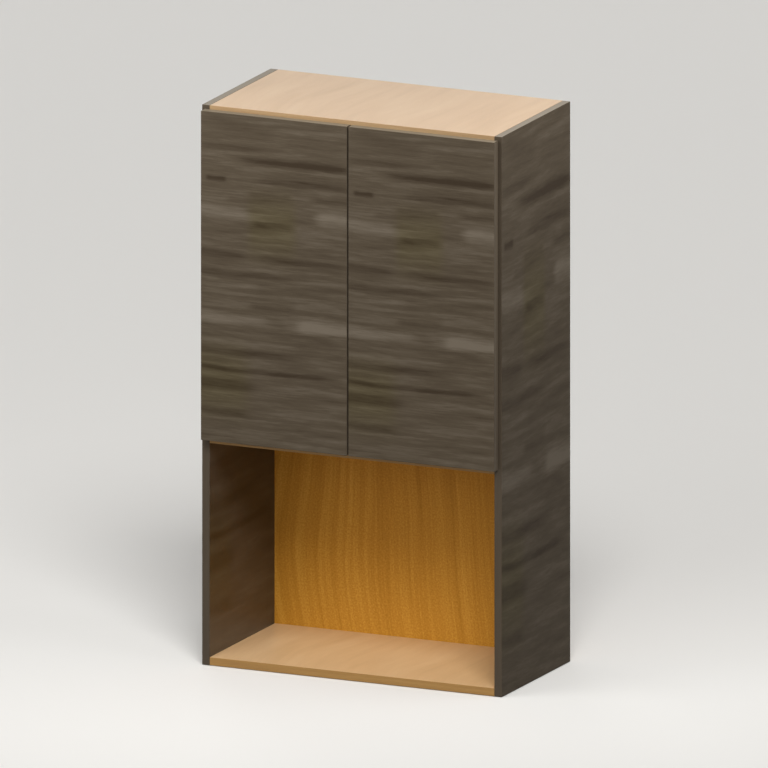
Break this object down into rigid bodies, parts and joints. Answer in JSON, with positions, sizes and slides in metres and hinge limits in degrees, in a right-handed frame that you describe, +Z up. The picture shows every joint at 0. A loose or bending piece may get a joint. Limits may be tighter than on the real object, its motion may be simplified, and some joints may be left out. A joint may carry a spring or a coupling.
{
  "type": "wall cabinet",
  "caption": "Frameless wall cabinet: plain overlay doors on concealed hinges with push latches and a loose shelf behind them, above an open bay.",
  "frame": {"origin": "middle of the upper hanging rail's back face, which lies on the wall", "axes": "+Y towards the wall, -Y out of the doors, +Z up, +X to the right of someone facing the doors"},
  "size_m": [0.6096, 0.3243, 1.0668],
  "materials": {
    "dark_laminate": "matt dark grey-brown wood-grain laminate on particle board",
    "beech_laminate": "satin beech laminate on particle board",
    "beech_edging": "satin beech edge band",
    "back_veneer": "satin beech face on hardboard",
    "beech_dowel": "bare beech",
    "rail_plywood": "bare plywood",
    "nickel_steel": "nickel-plated pressed steel",
    "zinc_casting": "die-cast zinc",
    "grey_plastic": "moulded grey acetal",
    "pale_plastic": "moulded pale grey acetal"
  },
  "bodies": {
    "carcass": {"side_left": "dark_laminate", "side_right": "dark_laminate", "top_panel": "beech_laminate", "fixed_shelf": "beech_laminate", "bottom_panel": "beech_laminate", "back_panel": "back_veneer", "hanging_rail_upper": "rail_plywood", "hanging_rail_lower": "rail_plywood", "top_edge_band": "beech_edging", "fixed_shelf_edge_band": "beech_edging", "bottom_edge_band": "beech_edging", "dowel_top_left_front": "beech_dowel", "dowel_top_left_rear": "beech_dowel", "dowel_top_right_front": "beech_dowel", "dowel_top_right_rear": "beech_dowel", "dowel_fixed_shelf_left_front": "beech_dowel", "dowel_fixed_shelf_left_rear": "beech_dowel", "dowel_fixed_shelf_right_front": "beech_dowel", "dowel_fixed_shelf_right_rear": "beech_dowel", "dowel_bottom_left_front": "beech_dowel", "dowel_bottom_left_rear": "beech_dowel", "dowel_bottom_right_front": "beech_dowel", "dowel_bottom_right_rear": "beech_dowel", "adjustable_shelf": "beech_laminate", "adjustable_shelf_edge_band": "beech_edging", "shelf_pin_left_front": "nickel_steel", "shelf_pin_left_rear": "nickel_steel", "shelf_pin_right_front": "nickel_steel", "shelf_pin_right_rear": "nickel_steel", "hinge_left_upper_arm": "nickel_steel", "hinge_left_upper_plate": "zinc_casting", "hinge_left_lower_arm": "nickel_steel", "hinge_left_lower_plate": "zinc_casting", "hinge_right_upper_arm": "nickel_steel", "hinge_right_upper_plate": "zinc_casting", "hinge_right_lower_arm": "nickel_steel", "hinge_right_lower_plate": "zinc_casting", "latch_housing_left": "grey_plastic", "latch_housing_right": "grey_plastic"},
    "left_outer_links": {"hinge_left_upper_outer_link": "nickel_steel", "hinge_left_lower_outer_link": "nickel_steel"},
    "left_inner_links": {"hinge_left_upper_inner_link": "nickel_steel", "hinge_left_lower_inner_link": "nickel_steel"},
    "left_door": {"door_left": "dark_laminate", "hinge_left_upper_cup": "nickel_steel", "hinge_left_lower_cup": "nickel_steel", "latch_strike_left": "nickel_steel"},
    "left_plunger": {"latch_plunger_left": "pale_plastic"},
    "right_outer_links": {"hinge_right_upper_outer_link": "nickel_steel", "hinge_right_lower_outer_link": "nickel_steel"},
    "right_inner_links": {"hinge_right_upper_inner_link": "nickel_steel", "hinge_right_lower_inner_link": "nickel_steel"},
    "right_door": {"door_right": "dark_laminate", "hinge_right_upper_cup": "nickel_steel", "hinge_right_lower_cup": "nickel_steel", "latch_strike_right": "nickel_steel"},
    "right_plunger": {"latch_plunger_right": "pale_plastic"}
  },
  "joints": [
    {"name": "left_outer_links_turn", "type": "hinge", "parent": "carcass", "child": "left_outer_links", "pos_m": [-0.2732, -0.2989, -0.2651], "axis": [0, 0, 1], "range_deg": [0, 47]},
    {"name": "left_door_swing", "type": "hinge", "parent": "left_outer_links", "child": "left_door", "pos_m": [-0.2888, -0.3099, -0.2651], "axis": [0, 0, -1], "range_deg": [0, 147]},
    {"name": "left_inner_links_turn", "type": "hinge", "parent": "carcass", "child": "left_inner_links", "pos_m": [-0.2609, -0.2988, -0.2651], "axis": [0, 0, 1], "range_deg": [0, 43.42]},
    {"name": "left_plunger_slide", "type": "slide", "parent": "carcass", "child": "left_plunger", "axis": [0, -1, 0], "range_m": [0, 0.02]},
    {"name": "right_outer_links_turn", "type": "hinge", "parent": "carcass", "child": "right_outer_links", "pos_m": [0.2732, -0.2989, -0.2651], "axis": [0, 0, -1], "range_deg": [0, 47]},
    {"name": "right_door_swing", "type": "hinge", "parent": "right_outer_links", "child": "right_door", "pos_m": [0.2888, -0.3099, -0.2651], "axis": [0, 0, 1], "range_deg": [0, 147]},
    {"name": "right_inner_links_turn", "type": "hinge", "parent": "carcass", "child": "right_inner_links", "pos_m": [0.2609, -0.2988, -0.2651], "axis": [0, 0, -1], "range_deg": [0, 43.42]},
    {"name": "right_plunger_slide", "type": "slide", "parent": "carcass", "child": "right_plunger", "axis": [0, -1, 0], "range_m": [0, 0.02]}
  ],
  "couplings": [
    {"joint": "left_outer_links_turn", "follows": "left_door_swing", "ratio": 0.31973},
    {"joint": "left_inner_links_turn", "follows": "left_door_swing", "ratio": 0.29535},
    {"joint": "left_plunger_slide", "follows": "left_door_swing", "m_per_rad": 0.007795},
    {"joint": "right_outer_links_turn", "follows": "right_door_swing", "ratio": 0.31973},
    {"joint": "right_inner_links_turn", "follows": "right_door_swing", "ratio": 0.29535},
    {"joint": "right_plunger_slide", "follows": "right_door_swing", "m_per_rad": 0.007795}
  ]
}
